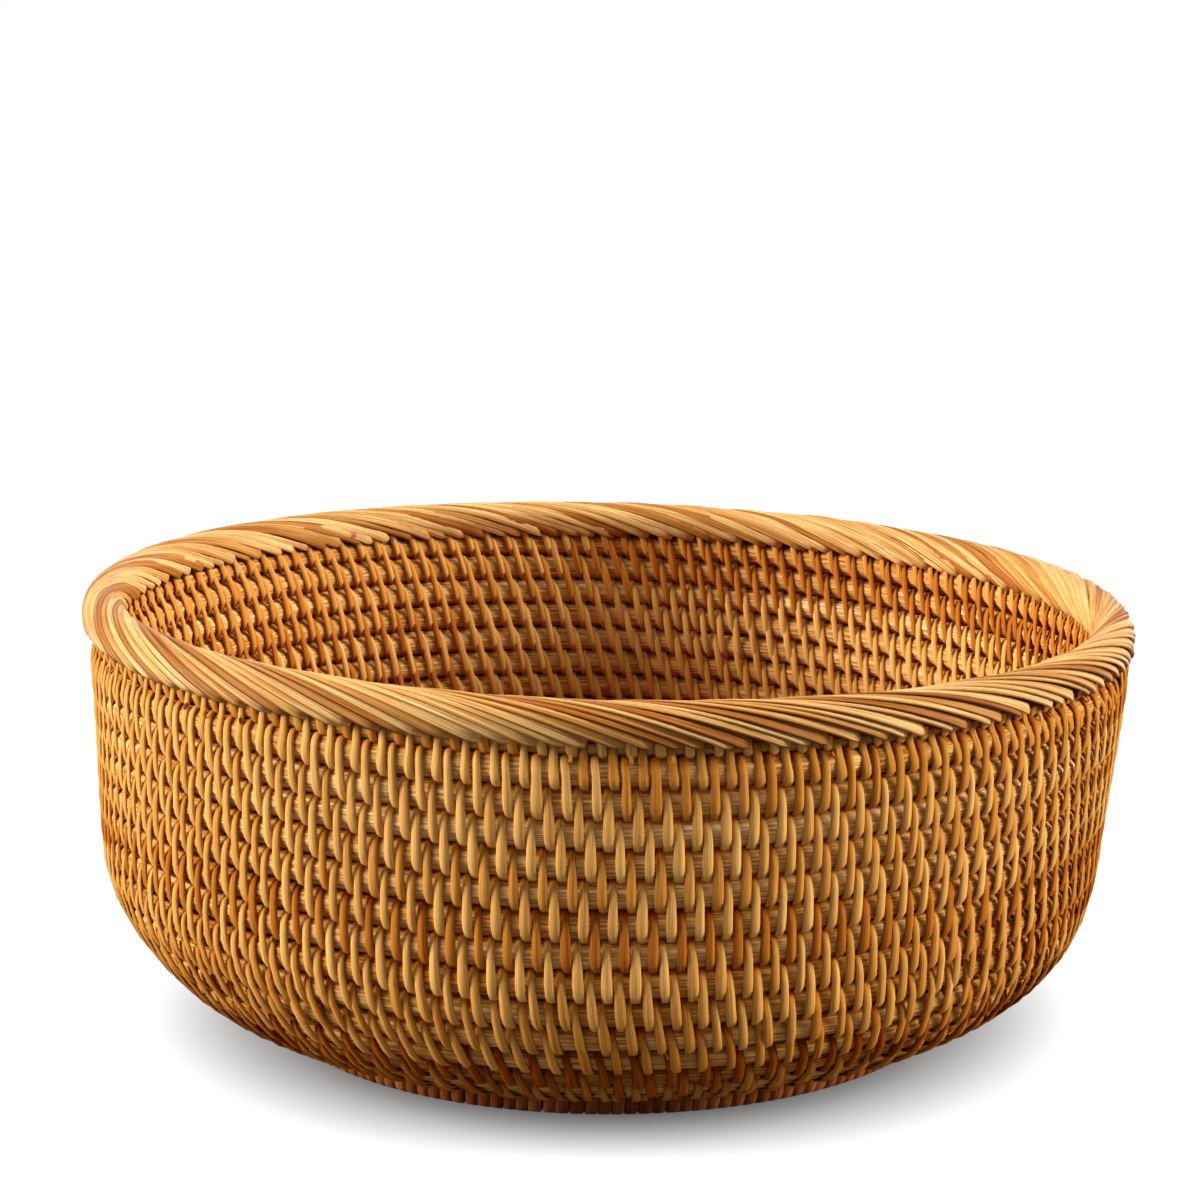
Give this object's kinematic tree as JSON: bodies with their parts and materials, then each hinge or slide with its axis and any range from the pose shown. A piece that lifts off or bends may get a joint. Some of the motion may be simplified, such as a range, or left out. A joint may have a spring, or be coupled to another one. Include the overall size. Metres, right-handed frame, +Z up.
{
  "type": "coiled rattan basket",
  "caption": "Round open basket coiled from rattan rods sewn with cane, with a rope-like lapped rim, a rounded wall and a lapped foot ring.",
  "frame": {"origin": "on the floor under the middle of the basket, in the plane of the foot's underside", "axes": "+Z up, +X towards the side where the rim sits a little lower, -Y towards the viewer"},
  "size_m": [0.3, 0.3, 0.1279],
  "materials": {
    "wall_rod": "matt rattan core with fine grain along the rod",
    "base_rod": "matt red-brown rattan core",
    "stitch_cane": "satin split cane, golden brown with darker strands",
    "rim_lapping": "satin split cane, golden tan",
    "foot_lapping": "satin split cane, dark brown"
  },
  "bodies": {
    "root": {"base_rod_1": "base_rod", "base_rod_2": "base_rod", "base_rod_3": "base_rod", "base_rod_4": "base_rod", "base_rod_5": "base_rod", "wall_rod_01": "wall_rod", "wall_rod_02": "wall_rod", "wall_rod_03": "wall_rod", "wall_rod_04": "wall_rod", "wall_rod_05": "wall_rod", "wall_rod_06": "wall_rod", "wall_rod_07": "wall_rod", "wall_rod_08": "wall_rod", "wall_rod_09": "wall_rod", "wall_rod_10": "wall_rod", "wall_rod_11": "wall_rod", "wall_rod_12": "wall_rod", "wall_rod_13": "wall_rod", "foot_core_rod": "wall_rod", "foot_lapping": "foot_lapping", "rim_core_rod": "wall_rod", "rim_lapping": "rim_lapping"}
  },
  "joints": []
}
